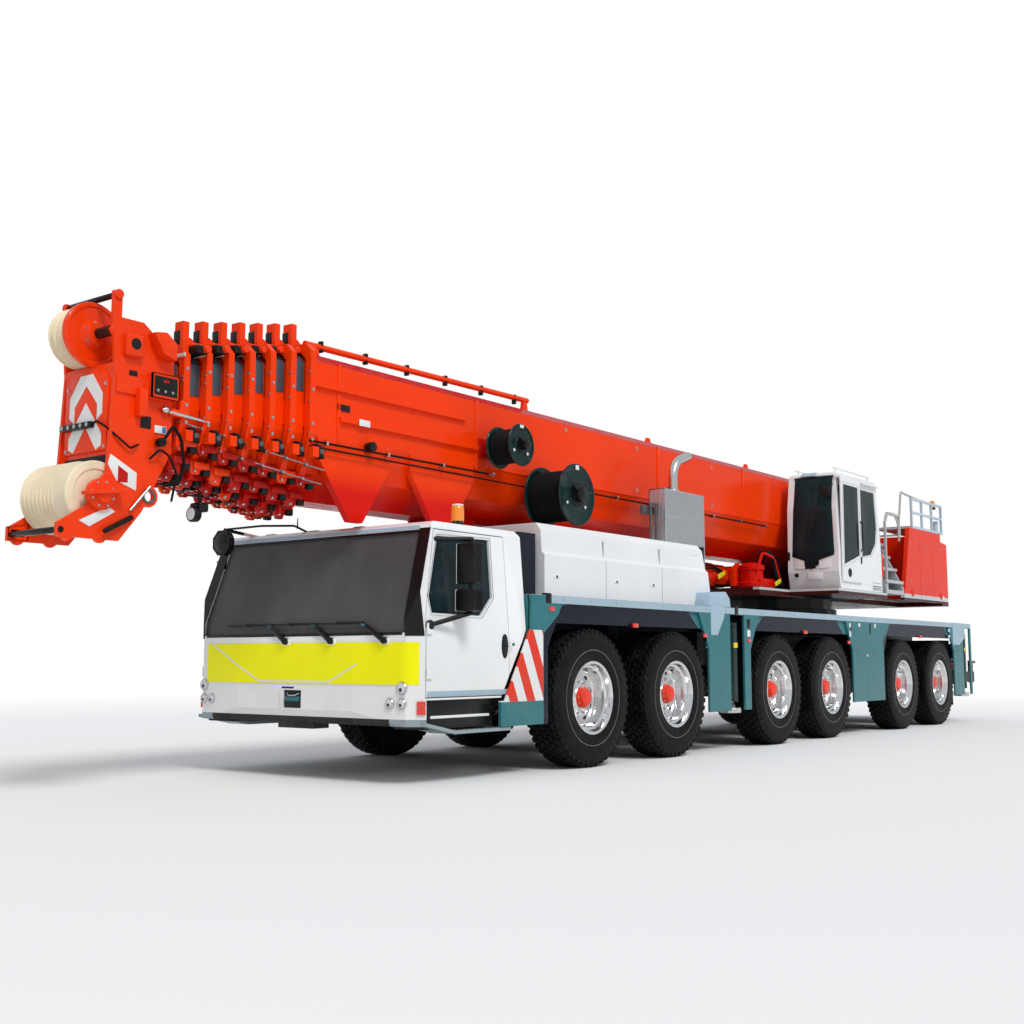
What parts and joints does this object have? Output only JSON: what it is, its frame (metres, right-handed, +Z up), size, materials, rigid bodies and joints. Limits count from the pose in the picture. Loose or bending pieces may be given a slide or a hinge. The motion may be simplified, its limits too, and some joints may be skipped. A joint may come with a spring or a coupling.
{
  "type": "six-axle telescopic mobile crane",
  "caption": "All-terrain mobile crane in road position: carrier with steered wheels and outriggers, slewing upper works, and a luffing, telescoping boom.",
  "frame": {"origin": "on the ground, midway along the overall length, on the centre plane", "axes": "+X ahead, +Y to the left of the driver, +Z up"},
  "size_m": [18.24, 3.42, 4.025],
  "materials": {
    "axle_grey": "satin paint",
    "bare_aluminium": "brushed",
    "boom_red": "gloss paint",
    "cab_white": "gloss paint",
    "chrome_rod": "polished rod",
    "cover_white": "gloss moulded cover",
    "fender_teal": "satin paint",
    "frame_dark": "satin paint",
    "interior": "matte",
    "reel_black": "gloss paint",
    "sheave_cream": "satin cast nylon",
    "wheel": "black tyre on a polished rim"
  },
  "bodies": {
    "carrier": {"chassis_frame": "frame_dark", "axle_beams": "axle_grey", "deck_fenders": "fender_teal", "driver_cab": "cab_white", "cab_interior": "interior", "engine_cover": "cover_white", "exhaust_guard": "bare_aluminium"},
    "upper_works": {"slewing_frame": "boom_red", "operator_cab": "cab_white", "access_ladder": "bare_aluminium", "counterweight": "boom_red"},
    "boom": {"boom_base": "boom_red", "cable_reels": "reel_black"},
    "boom_section_1": {"boom_section_1": "boom_red"},
    "boom_section_2": {"boom_section_2": "boom_red"},
    "boom_section_3": {"boom_section_3": "boom_red"},
    "boom_section_4": {"boom_section_4": "boom_red"},
    "boom_section_5": {"boom_section_5": "boom_red"},
    "boom_section_6": {"boom_section_6": "boom_red"},
    "boom_section_7": {"boom_section_7": "boom_red"},
    "driver_door_left": {"driver_door_left": "cab_white"},
    "driver_door_right": {"driver_door_right": "cab_white"},
    "hoist_drum": {"hoist_drum": "boom_red"},
    "knuckle_1_left": {"knuckle_1_left": "axle_grey"},
    "knuckle_1_right": {"knuckle_1_right": "axle_grey"},
    "knuckle_2_left": {"knuckle_2_left": "axle_grey"},
    "knuckle_2_right": {"knuckle_2_right": "axle_grey"},
    "knuckle_3_left": {"knuckle_3_left": "axle_grey"},
    "knuckle_3_right": {"knuckle_3_right": "axle_grey"},
    "knuckle_4_left": {"knuckle_4_left": "axle_grey"},
    "knuckle_4_right": {"knuckle_4_right": "axle_grey"},
    "knuckle_5_left": {"knuckle_5_left": "axle_grey"},
    "knuckle_5_right": {"knuckle_5_right": "axle_grey"},
    "knuckle_6_left": {"knuckle_6_left": "axle_grey"},
    "knuckle_6_right": {"knuckle_6_right": "axle_grey"},
    "lower_sheaves": {"lower_sheaves": "sheave_cream"},
    "luffing_barrel": {"luffing_barrel": "boom_red"},
    "luffing_rod": {"luffing_rod": "chrome_rod"},
    "operator_door": {"operator_door": "cab_white"},
    "outrigger_beam_front_left": {"outrigger_beam_front_left": "reel_black"},
    "outrigger_beam_front_right": {"outrigger_beam_front_right": "reel_black"},
    "outrigger_beam_rear_left": {"outrigger_beam_rear_left": "reel_black"},
    "outrigger_beam_rear_right": {"outrigger_beam_rear_right": "reel_black"},
    "outrigger_foot_front_left": {"outrigger_foot_front_left": "chrome_rod"},
    "outrigger_foot_front_right": {"outrigger_foot_front_right": "chrome_rod"},
    "outrigger_foot_rear_left": {"outrigger_foot_rear_left": "chrome_rod"},
    "outrigger_foot_rear_right": {"outrigger_foot_rear_right": "chrome_rod"},
    "upper_sheave": {"upper_sheave": "sheave_cream"},
    "wheel_1_left": {"wheel_1_left": "wheel"},
    "wheel_1_right": {"wheel_1_right": "wheel"},
    "wheel_2_left": {"wheel_2_left": "wheel"},
    "wheel_2_right": {"wheel_2_right": "wheel"},
    "wheel_3_left": {"wheel_3_left": "wheel"},
    "wheel_3_right": {"wheel_3_right": "wheel"},
    "wheel_4_left": {"wheel_4_left": "wheel"},
    "wheel_4_right": {"wheel_4_right": "wheel"},
    "wheel_5_left": {"wheel_5_left": "wheel"},
    "wheel_5_right": {"wheel_5_right": "wheel"},
    "wheel_6_left": {"wheel_6_left": "wheel"},
    "wheel_6_right": {"wheel_6_right": "wheel"}
  },
  "joints": [
    {"name": "steer_1_left", "type": "hinge", "parent": "carrier", "child": "knuckle_1_left", "pos_m": [3.83, 0.985, 0.685], "axis": [0, 0, 1], "range_deg": [-28, 28]},
    {"name": "roll_1_left", "type": "hinge", "parent": "knuckle_1_left", "child": "wheel_1_left", "pos_m": [3.83, 1.3075, 0.685], "axis": [0, 1, 0], "continuous": true},
    {"name": "steer_1_right", "type": "hinge", "parent": "carrier", "child": "knuckle_1_right", "pos_m": [3.83, -0.985, 0.685], "axis": [0, 0, 1], "range_deg": [-28.5, 28.5]},
    {"name": "roll_1_right", "type": "hinge", "parent": "knuckle_1_right", "child": "wheel_1_right", "pos_m": [3.83, -1.3075, 0.685], "axis": [0, 1, 0], "continuous": true},
    {"name": "steer_2_left", "type": "hinge", "parent": "carrier", "child": "knuckle_2_left", "pos_m": [2.18, 0.985, 0.685], "axis": [0, 0, 1], "range_deg": [-19.3, 19.3]},
    {"name": "roll_2_left", "type": "hinge", "parent": "knuckle_2_left", "child": "wheel_2_left", "pos_m": [2.18, 1.3075, 0.685], "axis": [0, 1, 0], "continuous": true},
    {"name": "steer_2_right", "type": "hinge", "parent": "carrier", "child": "knuckle_2_right", "pos_m": [2.18, -0.985, 0.685], "axis": [0, 0, 1], "range_deg": [-19.3, 19.3]},
    {"name": "roll_2_right", "type": "hinge", "parent": "knuckle_2_right", "child": "wheel_2_right", "pos_m": [2.18, -1.3075, 0.685], "axis": [0, 1, 0], "continuous": true},
    {"name": "steer_3_left", "type": "hinge", "parent": "carrier", "child": "knuckle_3_left", "pos_m": [-0.4, 0.985, 0.685], "axis": [0, 0, 1], "range_deg": [-4.8, 4.8]},
    {"name": "roll_3_left", "type": "hinge", "parent": "knuckle_3_left", "child": "wheel_3_left", "pos_m": [-0.4, 1.3075, 0.685], "axis": [0, 1, 0], "continuous": true},
    {"name": "steer_3_right", "type": "hinge", "parent": "carrier", "child": "knuckle_3_right", "pos_m": [-0.4, -0.985, 0.685], "axis": [0, 0, 1], "range_deg": [-4.8, 4.8]},
    {"name": "roll_3_right", "type": "hinge", "parent": "knuckle_3_right", "child": "wheel_3_right", "pos_m": [-0.4, -1.3075, 0.685], "axis": [0, 1, 0], "continuous": true},
    {"name": "steer_4_left", "type": "hinge", "parent": "carrier", "child": "knuckle_4_left", "pos_m": [-2.05, 0.985, 0.685], "axis": [0, 0, 1], "range_deg": [-5.4, 5.4]},
    {"name": "roll_4_left", "type": "hinge", "parent": "knuckle_4_left", "child": "wheel_4_left", "pos_m": [-2.05, 1.3075, 0.685], "axis": [0, 1, 0], "continuous": true},
    {"name": "steer_4_right", "type": "hinge", "parent": "carrier", "child": "knuckle_4_right", "pos_m": [-2.05, -0.985, 0.685], "axis": [0, 0, 1], "range_deg": [-5.4, 5.4]},
    {"name": "roll_4_right", "type": "hinge", "parent": "knuckle_4_right", "child": "wheel_4_right", "pos_m": [-2.05, -1.3075, 0.685], "axis": [0, 1, 0], "continuous": true},
    {"name": "steer_5_left", "type": "hinge", "parent": "carrier", "child": "knuckle_5_left", "pos_m": [-4.77, 0.985, 0.685], "axis": [0, 0, 1], "range_deg": [-20.7, 20.7]},
    {"name": "roll_5_left", "type": "hinge", "parent": "knuckle_5_left", "child": "wheel_5_left", "pos_m": [-4.77, 1.3075, 0.685], "axis": [0, 1, 0], "continuous": true},
    {"name": "steer_5_right", "type": "hinge", "parent": "carrier", "child": "knuckle_5_right", "pos_m": [-4.77, -0.985, 0.685], "axis": [0, 0, 1], "range_deg": [-20.7, 20.7]},
    {"name": "roll_5_right", "type": "hinge", "parent": "knuckle_5_right", "child": "wheel_5_right", "pos_m": [-4.77, -1.3075, 0.685], "axis": [0, 1, 0], "continuous": true},
    {"name": "steer_6_left", "type": "hinge", "parent": "carrier", "child": "knuckle_6_left", "pos_m": [-6.42, 0.985, 0.685], "axis": [0, 0, 1], "range_deg": [-29.9, 29.9]},
    {"name": "roll_6_left", "type": "hinge", "parent": "knuckle_6_left", "child": "wheel_6_left", "pos_m": [-6.42, 1.3075, 0.685], "axis": [0, 1, 0], "continuous": true},
    {"name": "steer_6_right", "type": "hinge", "parent": "carrier", "child": "knuckle_6_right", "pos_m": [-6.42, -0.985, 0.685], "axis": [0, 0, 1], "range_deg": [-29.9, 29.9]},
    {"name": "roll_6_right", "type": "hinge", "parent": "knuckle_6_right", "child": "wheel_6_right", "pos_m": [-6.42, -1.3075, 0.685], "axis": [0, 1, 0], "continuous": true},
    {"name": "driver_door_left_hinge", "type": "hinge", "parent": "carrier", "child": "driver_door_left", "pos_m": [6.295, 1.463, 1], "axis": [0, 0, -1], "range_deg": [0, 70]},
    {"name": "driver_door_right_hinge", "type": "hinge", "parent": "carrier", "child": "driver_door_right", "pos_m": [6.295, -1.463, 1], "axis": [0, 0, 1], "range_deg": [0, 70]},
    {"name": "operator_door_slide", "type": "slide", "parent": "upper_works", "child": "operator_door", "axis": [-1, 0, 0], "range_m": [0, 0.65]},
    {"name": "outrigger_front_left_extend", "type": "slide", "parent": "carrier", "child": "outrigger_beam_front_left", "axis": [0, 1, 0], "range_m": [0, 2]},
    {"name": "outrigger_front_left_lower", "type": "slide", "parent": "outrigger_beam_front_left", "child": "outrigger_foot_front_left", "axis": [0, 0, -1], "range_m": [0, 0.65]},
    {"name": "outrigger_front_right_extend", "type": "slide", "parent": "carrier", "child": "outrigger_beam_front_right", "axis": [0, -1, 0], "range_m": [0, 2]},
    {"name": "outrigger_front_right_lower", "type": "slide", "parent": "outrigger_beam_front_right", "child": "outrigger_foot_front_right", "axis": [0, 0, -1], "range_m": [0, 0.65]},
    {"name": "outrigger_rear_left_extend", "type": "slide", "parent": "carrier", "child": "outrigger_beam_rear_left", "axis": [0, 1, 0], "range_m": [0, 2]},
    {"name": "outrigger_rear_left_lower", "type": "slide", "parent": "outrigger_beam_rear_left", "child": "outrigger_foot_rear_left", "axis": [0, 0, -1], "range_m": [0, 0.65]},
    {"name": "outrigger_rear_right_extend", "type": "slide", "parent": "carrier", "child": "outrigger_beam_rear_right", "axis": [0, -1, 0], "range_m": [0, 2]},
    {"name": "outrigger_rear_right_lower", "type": "slide", "parent": "outrigger_beam_rear_right", "child": "outrigger_foot_rear_right", "axis": [0, 0, -1], "range_m": [0, 0.65]},
    {"name": "slewing", "type": "hinge", "parent": "carrier", "child": "upper_works", "pos_m": [-3.47, 0, 1.95], "axis": [0, 0, 1], "continuous": true},
    {"name": "luffing", "type": "hinge", "parent": "upper_works", "child": "boom", "pos_m": [-5.92, 0, 3.3], "axis": [0, -1, 0], "range_deg": [0, 82]},
    {"name": "luffing_cylinder_swing", "type": "hinge", "parent": "upper_works", "child": "luffing_barrel", "pos_m": [-1.77, 0, 2.235], "axis": [0, -1, 0], "range_deg": [0, 99.36]},
    {"name": "luffing_rod_stroke", "type": "slide", "parent": "luffing_barrel", "child": "luffing_rod", "axis": [1, 0, 0.0024], "range_m": [0, 5.1123]},
    {"name": "telescope_1", "type": "slide", "parent": "boom", "child": "boom_section_1", "axis": [1, 0, 0], "range_m": [0, 8.9]},
    {"name": "telescope_2", "type": "slide", "parent": "boom_section_1", "child": "boom_section_2", "axis": [1, 0, 0], "range_m": [0, 8.9]},
    {"name": "telescope_3", "type": "slide", "parent": "boom_section_2", "child": "boom_section_3", "axis": [1, 0, 0], "range_m": [0, 8.9]},
    {"name": "telescope_4", "type": "slide", "parent": "boom_section_3", "child": "boom_section_4", "axis": [1, 0, 0], "range_m": [0, 8.9]},
    {"name": "telescope_5", "type": "slide", "parent": "boom_section_4", "child": "boom_section_5", "axis": [1, 0, 0], "range_m": [0, 8.9]},
    {"name": "telescope_6", "type": "slide", "parent": "boom_section_5", "child": "boom_section_6", "axis": [1, 0, 0], "range_m": [0, 8.9]},
    {"name": "telescope_7", "type": "slide", "parent": "boom_section_6", "child": "boom_section_7", "axis": [1, 0, 0], "range_m": [0, 8.9]},
    {"name": "upper_sheave_spin", "type": "hinge", "parent": "boom_section_7", "child": "upper_sheave", "pos_m": [8.69, 0, 3.59], "axis": [0, 1, 0], "continuous": true},
    {"name": "lower_sheaves_spin", "type": "hinge", "parent": "boom_section_7", "child": "lower_sheaves", "pos_m": [8.77, 0, 2.3], "axis": [0, 1, 0], "continuous": true},
    {"name": "hoist_drum_spin", "type": "hinge", "parent": "upper_works", "child": "hoist_drum", "pos_m": [-6.52, 0, 2.62], "axis": [0, 1, 0], "continuous": true}
  ],
  "couplings": [
    {"joint": "steer_1_right", "follows": "steer_1_left", "ratio": 1},
    {"joint": "steer_2_left", "follows": "steer_1_left", "ratio": 0.67},
    {"joint": "steer_2_right", "follows": "steer_1_left", "ratio": 0.67},
    {"joint": "steer_3_left", "follows": "steer_1_left", "ratio": 0.154},
    {"joint": "steer_3_right", "follows": "steer_1_left", "ratio": 0.154},
    {"joint": "steer_4_left", "follows": "steer_1_left", "ratio": -0.176},
    {"joint": "steer_4_right", "follows": "steer_1_left", "ratio": -0.176},
    {"joint": "steer_5_left", "follows": "steer_1_left", "ratio": -0.72},
    {"joint": "steer_5_right", "follows": "steer_1_left", "ratio": -0.72},
    {"joint": "steer_6_left", "follows": "steer_1_left", "ratio": -1.05},
    {"joint": "steer_6_right", "follows": "steer_1_left", "ratio": -1.05},
    {"joint": "luffing_cylinder_swing", "follows": "luffing", "ratio": 1.1996},
    {"joint": "luffing_rod_stroke", "follows": "luffing", "m_per_rad": 3.5581}
  ]
}
